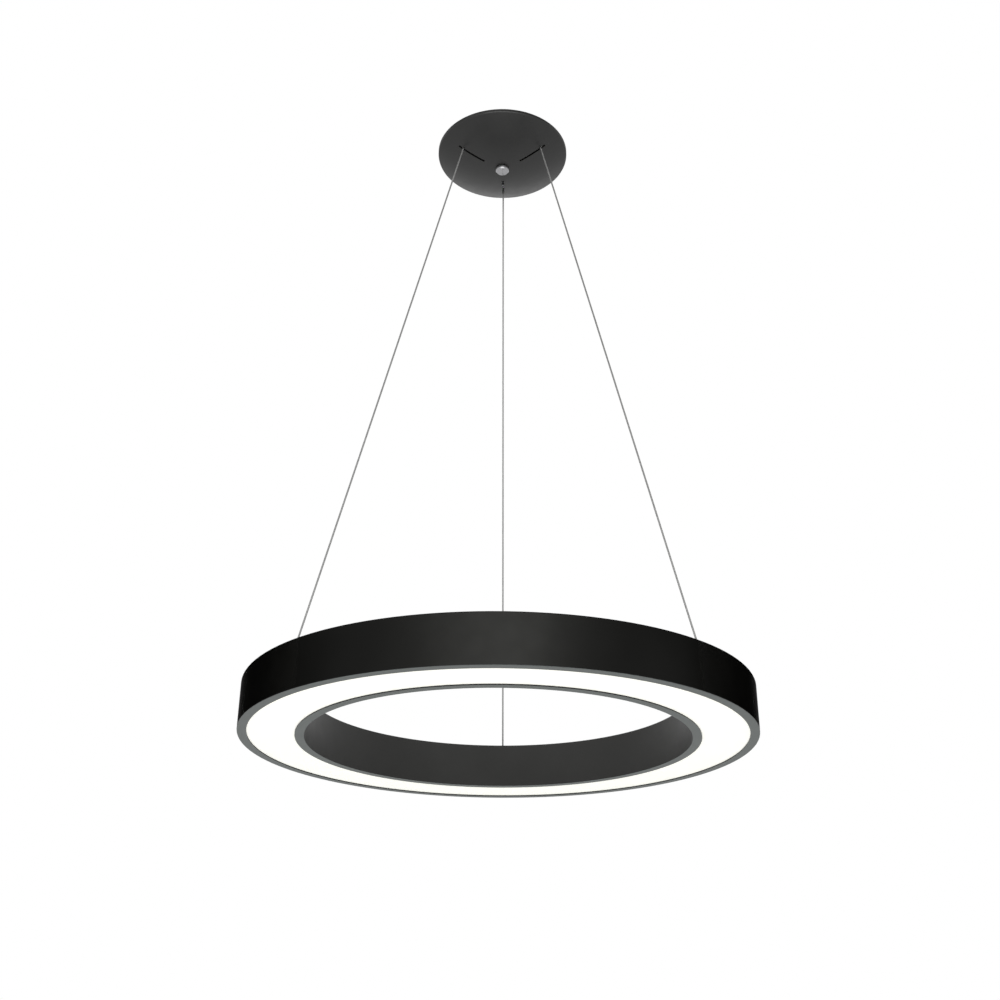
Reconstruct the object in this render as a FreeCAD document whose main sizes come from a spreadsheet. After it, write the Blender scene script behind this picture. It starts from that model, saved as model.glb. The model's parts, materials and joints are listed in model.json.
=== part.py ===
# Ring pendant lamp: a ceiling canopy, three suspension cables and a lit ring.
# All lengths are millimetres and all angles are degrees.
# The origin is the centre of the ceiling plane, +Z points up into the ceiling,
# and the lamp hangs towards -Z. The first cable lies on +Y.

import FreeCAD
import Part
import Sketcher
import math
import os

os.makedirs("parts", exist_ok=True)

doc = FreeCAD.newDocument("ring_pendant")
sheet = doc.addObject("Spreadsheet::Sheet", "Sizes")
Vector = FreeCAD.Vector
Rotation = FreeCAD.Rotation
Placement = FreeCAD.Placement

# Driving dimensions

SIZES = {
    # Whole lamp
    "drop_height": 875.0,
    "running_gap": 0.05,
    "fitting_gap": 0.1,
    "loose_gap": 0.4,
    # Ring housing
    "ring_radius": 300.0,
    "ring_width": 75.5,
    "ring_height": 54.5,
    "housing_wall": 2.0,
    "housing_top": 2.0,
    "housing_round": 1.2,
    # Bezels and diffuser
    "outer_bezel_width": 10.6,
    "inner_bezel_width": 10.8,
    "bezel_lip": 0.6,
    "bezel_edge_round": 0.4,
    "upstand_thickness": 1.5,
    "upstand_height": 8.0,
    "snap_bead": 0.3,
    "snap_bead_height": 1.2,
    "snap_bead_level": 5.0,
    "snap_groove": 0.5,
    "gasket_thickness": 0.7,
    "diffuser_thickness": 2.0,
    # Tray and its bosses
    "boss_height": 12.0,
    "boss_radius": 4.0,
    "boss_inset": 14.0,
    "boss_count": 6,
    "boss_bore_depth": 8.0,
    "tray_thickness": 1.5,
    "tray_edge_gap": 1.5,
    # Light boards
    "board_boss_gap": 10.0,
    "board_width": 30.0,
    "board_thickness": 1.2,
    "board_gap": 1.2,
    "board_count": 6,
    "board_fix_angle": 16.0,
    "chip_row_gap": 18.0,
    "chip_length": 3.5,
    "chip_width": 2.8,
    "chip_height": 0.8,
    "chip_pitch_angle": 6.5,
    "chips_per_row": 9,
    "jumper_length": 8.0,
    "jumper_width": 2.4,
    "jumper_thickness": 0.5,
    # Screws of the M3 and M2.5 sizes
    "screw_radius": 1.5,
    "screw_head_radius": 2.8,
    "screw_head_height": 2.0,
    "small_screw_radius": 1.25,
    "small_head_radius": 2.2,
    "small_head_height": 1.6,
    "screw_clearance": 0.2,
    "screw_tip_length": 1.0,
    # Cable grippers on the ring
    "gripper_inset": 40.5,
    "cable_count": 3,
    "collar_radius": 6.5,
    "collar_height": 3.0,
    "collar_chamfer": 0.6,
    "shank_radius": 5.0,
    "shank_below_top": 6.8,
    "sleeve_wall": 1.0,
    "bush_flange_radius": 8.0,
    "bush_flange_height": 1.0,
    "washer_thickness": 1.0,
    "lug_thickness": 0.8,
    "lug_radius": 7.5,
    "lug_tab_width": 4.0,
    "lug_tab_reach": 12.0,
    "gripper_nut_height": 4.0,
    "gripper_nut_flats": 13.0,
    "nose_radius": 2.5,
    "nose_height": 4.0,
    "nose_guide_length": 2.0,
    "nose_bore_radius": 1.7,
    "nose_mouth_radius": 1.95,
    "nose_mouth_depth": 1.5,
    "nose_tip_chamfer": 0.35,
    "nose_flange_radius": 3.3,
    "nose_flange_height": 1.0,
    "cavity_radius": 3.6,
    "seat_thickness": 2.0,
    "spring_wall": 0.5,
    "spring_radius": 2.9,
    "cable_grip_depth": 3.0,
    # Suspension cables
    "cable_radius": 1.1,
    "cable_inset": 33.5,
    # Canopy cover
    "cover_radius": 93.5,
    "cover_depth": 27.5,
    "cover_rim_height": 5.0,
    "cover_sheet": 1.2,
    "cover_rim_round": 1.5,
    "ceiling_gap": 0.3,
    "slot_inner_reach": 30.5,
    "slot_outer_reach": 11.2,
    "slot_width": 3.0,
    # Canopy nut, its washer and its stud
    "nut_radius": 9.5,
    "nut_height": 4.6,
    "nut_dome": 0.4,
    "nut_chamfer": 1.6,
    "nut_neck_radius": 4.5,
    "nut_neck_length": 7.5,
    "nut_end_wall": 1.2,
    "knurl_count": 30,
    "knurl_depth": 0.5,
    "canopy_washer_radius": 8.0,
    "canopy_washer_thickness": 0.5,
    "stud_radius": 3.0,
    "stud_flange_radius": 6.0,
    "stud_flange_height": 1.2,
    "stud_tip_gap": 0.5,
    # Ceiling plate
    "plate_inset": 7.5,
    "plate_thickness": 1.5,
    "ceiling_screw_inset": 11.0,
    "ceiling_screw_hole": 2.6,
    "entry_x": -30.0,
    "entry_y": 20.0,
    "entry_hole_radius": 7.0,
    "grommet_bore_radius": 5.0,
    "grommet_flange_radius": 9.0,
    "grommet_flange": 1.2,
    # Cable brackets, bushes and ferrules
    "bracket_sheet": 1.5,
    "bracket_width": 12.0,
    "bracket_tail": 13.0,
    "bracket_web_inset": 4.0,
    "bracket_shelf_reach": 9.0,
    "shelf_depth": 10.0,
    "anchor_sleeve_radius": 3.0,
    "anchor_bore_radius": 1.75,
    "anchor_flange_radius": 4.5,
    "anchor_flange": 1.0,
    "anchor_clip": 0.8,
    "ferrule_radius": 2.2,
    "ferrule_length": 5.5,
    "ferrule_bore_depth": 4.0,
    # Light driver
    "driver_y": -37.0,
    "driver_length": 66.0,
    "driver_width": 30.0,
    "driver_case_height": 12.0,
    "driver_wall": 1.5,
    "driver_lid": 1.5,
    "driver_ear_length": 8.0,
    "driver_ear_width": 8.0,
    "driver_ear_y": -47.0,
    "driver_board_thickness": 1.6,
    "driver_board_gap": 0.3,
    "lead_hole_radius": 1.1,
    "live_lead_x": 20.0,
    "neutral_lead_x": 26.0,
    "output_lead_x": 10.0,
    "header_depth": 4.0,
    "header_half_length": 4.0,
    "transformer_x": -6.0,
    "transformer_length": 16.0,
    "transformer_width": 15.0,
    "transformer_height": 7.5,
    "capacitor_radius": 3.5,
    "capacitor_length": 11.0,
    "left_capacitor_x": -27.0,
    "right_capacitor_x": 8.0,
    "capacitor_offset": 4.0,
    "solder_depth": 0.3,
    # Terminal block and earth point
    "block_x": 32.0,
    "block_y": 20.0,
    "block_length": 28.0,
    "block_width": 16.0,
    "block_height": 12.0,
    "block_pitch": 7.0,
    "block_ways": 3,
    "block_bore_radius": 1.5,
    "block_bore_depth": 4.0,
    "block_screw_radius": 1.6,
    "block_screw_height": 1.2,
    "block_slit_width": 0.5,
    "block_slit_depth": 0.5,
    "earth_x": 44.0,
    "earth_y": -8.0,
    "earth_lug_radius": 3.4,
    "earth_tab_reach": 9.0,
    # Leads inside the canopy and the ring
    "lead_radius": 0.8,
    "lead_depth": 7.5,
    "lead_drop_beyond_lug": 9.6,
    "solder_reach": 0.6,
}

# The cross in a screw head, as shares of the head's radius
CROSS_REACH = 0.6
CROSS_HALF_WIDTH = 0.12

# Sizes that follow from the ones above
DERIVED = {
    "ring_hole_radius": "=ring_radius - ring_width",
    "boss_circle_radius": "=ring_radius - boss_inset",
    "gripper_circle_radius": "=ring_radius - gripper_inset",
    "board_outer_radius": "=boss_circle_radius - board_boss_gap",
    "board_inner_radius": "=board_outer_radius - board_width",
    "board_fix_radius": "=board_outer_radius - board_width / 2",
    "chip_row_inner": "=board_fix_radius - chip_row_gap / 2",
    "chip_row_outer": "=board_fix_radius + chip_row_gap / 2",
    "plate_radius": "=cover_radius - plate_inset",
    "ceiling_screw_circle": "=plate_radius - ceiling_screw_inset",
    "cable_ceiling_radius": "=cover_radius - cable_inset",
    "slot_inner_end": "=cable_ceiling_radius - slot_inner_reach",
    "slot_outer_end": "=cable_ceiling_radius + slot_outer_reach",
    "bracket_inner_end": "=cable_ceiling_radius - bracket_tail",
    "bracket_web_radius": "=cable_ceiling_radius - bracket_web_inset",
    "bracket_outer_end": "=cable_ceiling_radius + bracket_shelf_reach",
    "housing_inside_top": "=ring_height - housing_top",
    "channel_outer_radius": "=ring_radius - housing_wall",
    "channel_inner_radius": "=ring_hole_radius + housing_wall",
    "outer_upstand_radius": "=channel_outer_radius - fitting_gap",
    "inner_upstand_radius": "=channel_inner_radius + fitting_gap",
    "snap_bead_top": "=snap_bead_level + snap_bead_height",
    "outer_mouth_radius": "=ring_radius - outer_bezel_width",
    "inner_mouth_radius": "=ring_hole_radius + inner_bezel_width",
    "diffuser_bottom": "=bezel_lip + gasket_thickness",
    "diffuser_outer_radius": "=outer_upstand_radius - upstand_thickness - loose_gap",
    "diffuser_inner_radius": "=inner_upstand_radius + upstand_thickness + loose_gap",
    "tray_top": "=housing_inside_top - boss_height",
    "board_top": "=tray_top - tray_thickness",
    "board_bottom": "=board_top - board_thickness",
    "board_half_angle": "=180 / board_count - board_gap / 2 / board_fix_radius * 180 / pi",
    "sleeve_radius": "=shank_radius + running_gap + sleeve_wall",
    "top_hole_radius": "=sleeve_radius + running_gap",
    "collar_bottom": "=ring_height + bush_flange_height",
    "collar_top": "=collar_bottom + collar_height",
    "nose_top": "=collar_top + nose_height",
    "shoulder_level": "=collar_top - nose_guide_length",
    "washer_bottom": "=housing_inside_top - washer_thickness",
    "lug_bottom": "=washer_bottom - lug_thickness",
    "gripper_nut_bottom": "=lug_bottom - gripper_nut_height",
    "shank_bottom": "=housing_inside_top - shank_below_top",
    "cable_cross_depth": "=drop_height - nose_top + nose_mouth_depth",
    "cable_slope": "=(gripper_circle_radius - cable_ceiling_radius) / cable_cross_depth",
    "cable_tilt": "=atan(cable_slope) / 1deg",
    "dome_rise": "=cover_depth - cover_rim_height",
    "dome_radius": "=(cover_radius * cover_radius + dome_rise * dome_rise) / 2 / dome_rise",
    "cover_hole_radius": "=nut_neck_radius + loose_gap",
    "washer_depth": "=cover_depth + canopy_washer_thickness",
    "stud_depth": "=washer_depth + nut_height - nut_end_wall - stud_tip_gap",
    "bracket_mid": "=(bracket_inner_end + bracket_web_radius) / 2 - bracket_sheet / 2",
    "shelf_bottom_depth": "=shelf_depth + bracket_sheet",
    "anchor_radius": "=cable_ceiling_radius + cable_slope * (shelf_depth + bracket_sheet / 2)",
    "ferrule_base_depth": "=shelf_depth - anchor_flange - ferrule_radius * sin(cable_tilt) - running_gap",
    "cable_top_depth": "=ferrule_base_depth - (ferrule_bore_depth - fitting_gap) * cos(cable_tilt)",
    "cable_bottom_depth": "=drop_height - nose_top + cable_grip_depth",
    "cable_length": "=(cable_bottom_depth - cable_top_depth) / cos(cable_tilt)",
    "driver_case_top": "=plate_thickness + driver_lid",
    "driver_bottom": "=driver_case_top + driver_case_height",
}


def fill_sheet():
    """Writes the driving and derived sizes to the sheet, one row each."""
    row = 1
    for names in (SIZES, DERIVED):
        for name, content in names.items():
            sheet.set("A%d" % row, name)
            sheet.set("B%d" % row, str(content))
            sheet.setAlias("B%d" % row, name)
            row += 1
    doc.recompute()


fill_sheet()


def size(name):
    """A size from the sheet as a plain number."""
    return float(sheet.get(name))


def amount(words):
    """The value of a sum such as "ring_radius - 2*housing_wall"."""
    total = 0.0
    sign = 1.0
    for word in words.split():
        if word in ("+", "-"):
            sign = 1.0 if word == "+" else -1.0
            continue
        product = sign
        for factor in word.split("*"):
            product *= size(factor) if factor[0].isalpha() else float(factor)
        total += product
    return total


def formula(words):
    """The same sum as an expression bound to the sheet."""
    terms = []
    for word in words.split():
        factors = ["Sizes." + part if part[0].isalpha() else part for part in word.split("*")]
        terms.append("*".join(factors))
    return " ".join(terms)


def bind(thing, **sums):
    """Binds properties of an object to sums of sizes."""
    for name, words in sums.items():
        thing.setExpression(name, formula(words))


SUB_PARTS = []


def keep(thing, label, place=None):
    """Names a finished sub-part and puts it in its place."""
    thing.Label = label
    if place is not None:
        thing.Placement = place
    SUB_PARTS.append(thing)
    return thing


def hang(body, depth):
    """Binds a body's height to a depth below the ceiling."""
    body.setExpression("Placement.Base.z", formula("- " + depth))


# Sketches and features

def new_body(name):
    return doc.addObject("PartDesign::Body", name + "_body")


def new_sketch(body, role, height=None):
    """A sketch on one of the body's own planes, at a height above it."""
    plane = [part for part in body.Origin.OriginFeatures if part.Role == role][0]
    sketch = body.newObject("Sketcher::SketchObject", body.Name + "_sketch")
    sketch.AttachmentSupport = [(plane, "")]
    sketch.MapMode = "FlatFace"
    if height is not None:
        sketch.setExpression("AttachmentOffset.Base.z", formula(height))
    return sketch


def fix_point(sketch, edge, end, across, up):
    """Fixes one end of an edge at bound distances from the sketch's origin."""
    for kind, words in (("DistanceX", across), ("DistanceY", up)):
        if words is None:
            continue
        rule = Sketcher.Constraint(kind, -1, 1, edge, end, amount(words))
        index = sketch.addConstraint(rule)
        sketch.setExpression("Constraints[%d]" % index, formula(words))


def add_outline(sketch, corners):
    """Adds a closed outline of straight edges through bound corners."""
    points = [Vector(amount(across), amount(up), 0) for across, up in corners]
    first = sketch.GeometryCount
    count = len(points)
    for index in range(count):
        line = Part.LineSegment(points[index], points[(index + 1) % count])
        sketch.addGeometry(line, False)
    for index in range(count):
        following = first + (index + 1) % count
        sketch.addConstraint(Sketcher.Constraint("Coincident", first + index, 2, following, 1))
    for index, (across, up) in enumerate(corners):
        fix_point(sketch, first + index, 1, across, up)


def add_circle(sketch, across, up, radius):
    """Adds a circle with a bound centre and radius."""
    centre = Vector(amount(across), amount(up), 0)
    circle = Part.Circle(centre, Vector(0, 0, 1), amount(radius))
    edge = sketch.addGeometry(circle, False)
    fix_point(sketch, edge, 3, across, up)
    index = sketch.addConstraint(Sketcher.Constraint("Radius", edge, amount(radius)))
    sketch.setExpression("Constraints[%d]" % index, formula(radius))


def turned(name, corners):
    """A body turned about Z from an outline of (radius, height) corners."""
    body = new_body(name)
    sketch = new_sketch(body, "XZ_Plane")
    add_outline(sketch, corners)
    turn = body.newObject("PartDesign::Revolution", name + "_turn")
    turn.Profile = sketch
    turn.ReferenceAxis = (sketch, ["V_Axis"])
    turn.Angle = 360
    doc.recompute()
    return body


def pad(body, sketch, length, downwards=False):
    raised = body.newObject("PartDesign::Pad", body.Name + "_pad")
    raised.Profile = sketch
    raised.Reversed = downwards
    bind(raised, Length=length)
    doc.recompute()
    return raised


def cut_holes(body, sketch, length, upwards=False, count=None):
    """Cuts a pocket and, with a count, repeats it round the Z axis."""
    before = body.Shape.Volume
    pocket = body.newObject("PartDesign::Pocket", body.Name + "_pocket")
    pocket.Profile = sketch
    pocket.Reversed = upwards
    bind(pocket, Length=length)
    doc.recompute()
    if not body.Shape.Volume < before:
        raise ValueError("a pocket cuts nothing in " + body.Name)
    if count is not None:
        repeat_round(body, pocket, count)


def repeat_round(body, original, count):
    """Repeats a pad or pocket evenly round the body's Z axis."""
    axis = [part for part in body.Origin.OriginFeatures if part.Role == "Z_Axis"][0]
    pattern = body.newObject("PartDesign::PolarPattern", body.Name + "_pattern")
    pattern.Originals = [original]
    pattern.Axis = (axis, [""])
    pattern.Angle = 360
    bind(pattern, Occurrences=count)
    body.Tip = pattern
    doc.recompute()


def round_edges(body, radius_words, wanted):
    """Rounds the circular edges of the (radius, height) pairs that are wanted."""
    names = []
    sharp = body.Tip
    for number, edge in enumerate(body.Shape.Edges, start=1):
        if edge.Curve.TypeId != "Part::GeomCircle":
            continue
        for radius, height in wanted:
            same_radius = abs(edge.Curve.Radius - amount(radius)) < 0.001
            same_height = abs(edge.Curve.Center.z - amount(height)) < 0.001
            if same_radius and same_height:
                names.append("Edge%d" % number)
    fillet = body.newObject("PartDesign::Fillet", body.Name + "_round")
    fillet.Base = (sharp, names)
    bind(fillet, Radius=radius_words)
    doc.recompute()


# Simple solids

def feature(name, shape):
    """A sub-part whose shape is built here from the sheet's sizes."""
    thing = doc.addObject("Part::Feature", name)
    thing.Shape = shape
    return thing


def box_at(low, high):
    """A plain box between two corners."""
    spans = [high[axis] - low[axis] for axis in range(3)]
    return Part.makeBox(spans[0], spans[1], spans[2], Vector(*low))


def bar_at(radius, height, foot):
    """A plain upright bar with its foot at a point."""
    return Part.makeCylinder(radius, height, Vector(*foot))


def around(angle):
    """A turn about the Z axis through the origin."""
    return Placement(Vector(0, 0, 0), Rotation(Vector(0, 0, 1), angle))


def polar(radius, angle, height):
    """A point given by its distance from the Z axis, its angle and its height."""
    turn = math.radians(angle)
    return Vector(radius * math.cos(turn), radius * math.sin(turn), height)


def turned_to(angle, radius, height):
    """The placement of a piece that stands at a radius and faces outwards."""
    return Placement(polar(radius, angle, height), Rotation(Vector(0, 0, 1), angle))


def cable_angles():
    """The directions of the cables, the first on +Y."""
    count = int(size("cable_count"))
    return [90.0 + 360.0 * index / count for index in range(count)]


def lead_along(points, radius, label):
    """A round lead along straight runs joined by tangent arcs."""
    radii = []
    path = []
    start = points[0]
    for before, corner, after in zip(points, points[1:], points[2:]):
        back = (before - corner).normalize()
        ahead = (after - corner).normalize()
        turn = math.pi - back.getAngle(ahead)
        shorter = min((before - corner).Length, (after - corner).Length)
        reach = 0.45 * shorter
        radii.append(reach / math.tan(turn / 2))
        arc_start = corner + back * reach
        arc_end = corner + ahead * reach
        middle_way = (back + ahead).normalize()
        centre = corner + middle_way * (radii[-1] / math.cos(turn / 2))
        arc_middle = centre - middle_way * radii[-1]
        path.append(Part.LineSegment(start, arc_start).toShape())
        path.append(Part.Arc(arc_start, arc_middle, arc_end).toShape())
        start = arc_end
    path.append(Part.LineSegment(start, points[-1]).toShape())
    wire = Part.Wire(path)
    first_way = points[1] - points[0]
    ring = Part.Wire([Part.Circle(points[0], first_way, radius).toShape()])
    tube = wire.makePipeShell([ring], True, True)
    wanted = math.pi * radius ** 2 * wire.Length
    print("%s: least arc radius %.1f, length %.1f, volume %.4f of its section times its length"
          % (label, min(radii), wire.Length, tube.Volume / wanted))
    return tube


# Ring

def make_ring_housing():
    body = turned("ring_housing", [
        ("ring_radius", "bezel_lip"),
        ("ring_radius", "ring_height"),
        ("ring_hole_radius", "ring_height"),
        ("ring_hole_radius", "bezel_lip"),
        ("channel_inner_radius", "bezel_lip"),
        ("channel_inner_radius", "bezel_lip + snap_bead_level - fitting_gap"),
        ("channel_inner_radius - snap_groove", "bezel_lip + snap_bead_level - fitting_gap"),
        ("channel_inner_radius - snap_groove", "bezel_lip + snap_bead_top + fitting_gap"),
        ("channel_inner_radius", "bezel_lip + snap_bead_top + fitting_gap"),
        ("channel_inner_radius", "housing_inside_top"),
        ("channel_outer_radius", "housing_inside_top"),
        ("channel_outer_radius", "bezel_lip + snap_bead_top + fitting_gap"),
        ("channel_outer_radius + snap_groove", "bezel_lip + snap_bead_top + fitting_gap"),
        ("channel_outer_radius + snap_groove", "bezel_lip + snap_bead_level - fitting_gap"),
        ("channel_outer_radius", "bezel_lip + snap_bead_level - fitting_gap"),
        ("channel_outer_radius", "bezel_lip"),
    ])
    round_edges(body, "housing_round", [("ring_radius", "ring_height"),
                                        ("ring_hole_radius", "ring_height")])
    bosses = new_sketch(body, "XY_Plane", "housing_inside_top")
    add_circle(bosses, "boss_circle_radius", "0", "boss_radius")
    repeat_round(body, pad(body, bosses, "boss_height", downwards=True), "boss_count")
    bores = new_sketch(body, "XY_Plane", "tray_top")
    add_circle(bores, "boss_circle_radius", "0", "screw_radius")
    cut_holes(body, bores, "boss_bore_depth", upwards=True, count="boss_count")
    holes = new_sketch(body, "XY_Plane", "ring_height")
    add_circle(holes, "0", "gripper_circle_radius", "top_hole_radius")
    cut_holes(body, holes, "housing_top", count="cable_count")
    hang(body, "drop_height")
    keep(body, "ring_housing")


def make_bezel(name, edge, mouth, upstand, upstand_back, bead):
    """A bezel ring with a flat lip and an upstand that snaps into the housing."""
    body = turned(name, [
        (mouth, "0"),
        (edge, "0"),
        (edge, "bezel_lip"),
        (upstand, "bezel_lip"),
        (upstand, "bezel_lip + snap_bead_level"),
        (bead, "bezel_lip + snap_bead_level + 0.5*snap_bead_height"),
        (upstand, "bezel_lip + snap_bead_top"),
        (upstand, "bezel_lip + upstand_height"),
        (upstand_back, "bezel_lip + upstand_height"),
        (upstand_back, "bezel_lip"),
        (mouth, "bezel_lip"),
    ])
    round_edges(body, "bezel_edge_round", [(edge, "0")])
    hang(body, "drop_height")
    keep(body, name)


def make_bezels():
    make_bezel("outer_bezel", "ring_radius", "outer_mouth_radius",
               "outer_upstand_radius", "outer_upstand_radius - upstand_thickness",
               "outer_upstand_radius + snap_bead")
    make_bezel("inner_bezel", "ring_hole_radius", "inner_mouth_radius",
               "inner_upstand_radius", "inner_upstand_radius + upstand_thickness",
               "inner_upstand_radius - snap_bead")


def make_gaskets():
    """The two rubber strips between the bezel lips and the diffuser."""
    strips = []
    for outside, inside in (("diffuser_outer_radius", "outer_mouth_radius"),
                            ("inner_mouth_radius", "diffuser_inner_radius")):
        strip = bar_at(size(outside), size("gasket_thickness"), (0, 0, size("bezel_lip")))
        opening = bar_at(size(inside), size("gasket_thickness"), (0, 0, size("bezel_lip")))
        strips.append(strip.cut(opening))
    group = feature("diffuser_gaskets", Part.makeCompound(strips))
    keep(group, "diffuser_gaskets", Placement(Vector(0, 0, -size("drop_height")), Rotation()))


def make_diffuser():
    body = turned("diffuser", [
        ("diffuser_inner_radius", "diffuser_bottom"),
        ("diffuser_outer_radius", "diffuser_bottom"),
        ("diffuser_outer_radius", "diffuser_bottom + diffuser_thickness"),
        ("diffuser_inner_radius", "diffuser_bottom + diffuser_thickness"),
    ])
    hang(body, "drop_height")
    keep(body, "diffuser")


def board_angles():
    """The middles of the light boards, whose gaps lie over the cables."""
    count = int(size("board_count"))
    return [360.0 * index / count for index in range(count)]


def lead_hole_angle():
    """How far a ring lead's drop lies round from its gripper."""
    return math.degrees(math.atan2(lead_drop_reach(), size("gripper_circle_radius")))


def lead_hole_radius_from_axis():
    return math.hypot(lead_drop_reach(), size("gripper_circle_radius"))


def lead_drop_reach():
    """How far beside its gripper a ring lead turns down."""
    return size("lug_tab_reach") + size("lead_drop_beyond_lug")


def make_tray():
    low = size("board_top")
    thickness = size("tray_thickness")
    outer = size("channel_outer_radius") - size("tray_edge_gap")
    inner = size("channel_inner_radius") + size("tray_edge_gap")
    plate = bar_at(outer, thickness, (0, 0, low))
    holes = [bar_at(inner, thickness, (0, 0, low))]
    for index in range(int(size("boss_count"))):
        spot = polar(size("boss_circle_radius"), 360.0 * index / size("boss_count"), low)
        holes.append(bar_at(size("screw_radius") + size("screw_clearance"), thickness, spot))
    for spot in board_screw_spots(low):
        holes.append(bar_at(size("small_screw_radius"), thickness, spot))
    for angle in cable_angles():
        spot = polar(lead_hole_radius_from_axis(), angle + lead_hole_angle(), low)
        holes.append(bar_at(2 * size("lead_radius") + size("loose_gap"), thickness, spot))
    tray = feature("led_tray", plate.cut(holes))
    keep(tray, "led_tray", Placement(Vector(0, 0, -size("drop_height")), Rotation()))


def board_screw_spots(height):
    """Where the small screws hold the light boards, two to a board."""
    spots = []
    for middle in board_angles():
        for side in (-1, 1):
            angle = middle + side * size("board_fix_angle")
            spots.append(polar(size("board_fix_radius"), angle, height))
    return spots


def make_boards():
    """The light boards: arcs of one size, each drilled for two screws and a lead."""
    low = size("board_bottom")
    thickness = size("board_thickness")
    half = size("board_half_angle")
    for index, middle in enumerate(board_angles(), start=1):
        outer = Part.makeCylinder(size("board_outer_radius"), thickness, Vector(0, 0, low),
                                  Vector(0, 0, 1), 2 * half)
        inner = Part.makeCylinder(size("board_inner_radius"), thickness, Vector(0, 0, low),
                                  Vector(0, 0, 1), 2 * half)
        arc = outer.cut(inner)
        holes = []
        for side in (-1, 1):
            spot = polar(size("board_fix_radius"), half + side * size("board_fix_angle"), low)
            holes.append(bar_at(size("small_screw_radius") + size("screw_clearance"), thickness, spot))
        gap_angle = 180.0 / size("board_count") - half
        spot = polar(lead_hole_radius_from_axis(), lead_hole_angle() - gap_angle, low)
        holes.append(bar_at(size("lead_radius") + size("fitting_gap"), thickness, spot))
        name = "led_board_%d" % index
        board = feature(name, arc.cut(holes))
        keep(board, name, Placement(Vector(0, 0, -size("drop_height")),
                                    Rotation(Vector(0, 0, 1), middle - half)))


def make_chips():
    """Two rows of light chips on every board."""
    low = size("board_bottom") - size("chip_height")
    chips = []
    count = int(size("chips_per_row"))
    for middle in board_angles():
        for row in ("chip_row_inner", "chip_row_outer"):
            for index in range(count):
                angle = middle + (index - (count - 1) / 2) * size("chip_pitch_angle")
                chip = box_at((-size("chip_width") / 2, -size("chip_length") / 2, 0),
                              (size("chip_width") / 2, size("chip_length") / 2, size("chip_height")))
                chip.Placement = turned_to(angle, size(row), low)
                chips.append(chip)
    group = feature("led_chips", Part.makeCompound(chips))
    keep(group, "led_chips", Placement(Vector(0, 0, -size("drop_height")), Rotation()))


def make_jumpers():
    """Solder bridges from each board to the next."""
    low = size("board_bottom") - size("jumper_thickness")
    half_length = size("jumper_length") / 2
    bridges = []
    for middle in board_angles():
        bridge = box_at((-size("jumper_width") / 2, -half_length, 0),
                        (size("jumper_width") / 2, half_length, size("jumper_thickness")))
        bridge.Placement = turned_to(middle + 180.0 / size("board_count"),
                                     size("board_fix_radius"), low)
        bridges.append(bridge)
    group = feature("board_jumpers", Part.makeCompound(bridges))
    keep(group, "board_jumpers", Placement(Vector(0, 0, -size("drop_height")), Rotation()))


def screw_up(spot, radius, head_radius, head_height, length):
    """A pan-head screw that points up, its head below the spot."""
    head = bar_at(head_radius, head_height, (spot.x, spot.y, spot.z - head_height))
    shank = bar_at(radius, length, (spot.x, spot.y, spot.z))
    cross_depth = head_height / 2
    arm = head_radius * CROSS_REACH
    width = head_radius * CROSS_HALF_WIDTH
    low = spot.z - head_height
    slot_one = box_at((spot.x - arm, spot.y - width, low), (spot.x + arm, spot.y + width, low + cross_depth))
    slot_two = box_at((spot.x - width, spot.y - arm, low), (spot.x + width, spot.y + arm, low + cross_depth))
    return head.fuse(shank).cut([slot_one, slot_two])


def make_ring_screws():
    """Six screws for the tray and two for each board."""
    gap = size("running_gap")
    screws = []
    for index in range(int(size("boss_count"))):
        spot = polar(size("boss_circle_radius"), 360.0 * index / size("boss_count"), size("board_top"))
        length = size("tray_thickness") + size("boss_bore_depth") - 2 * size("loose_gap")
        screws.append(screw_up(spot, size("screw_radius") - gap, size("screw_head_radius"),
                               size("screw_head_height"), length))
    group = feature("tray_screws", Part.makeCompound(screws))
    keep(group, "tray_screws", Placement(Vector(0, 0, -size("drop_height")), Rotation()))
    small = []
    for spot in board_screw_spots(size("board_bottom")):
        length = size("board_thickness") + size("tray_thickness") + size("screw_tip_length")
        small.append(screw_up(spot, size("small_screw_radius") - gap, size("small_head_radius"),
                              size("small_head_height"), length))
    group = feature("board_screws", Part.makeCompound(small))
    keep(group, "board_screws", Placement(Vector(0, 0, -size("drop_height")), Rotation()))


# Cable grippers on the ring

def ring_spot(angle):
    """The placement of a gripper's piece, which is drawn about its own axis."""
    return turned_to(angle, size("gripper_circle_radius"), -size("drop_height"))


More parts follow.
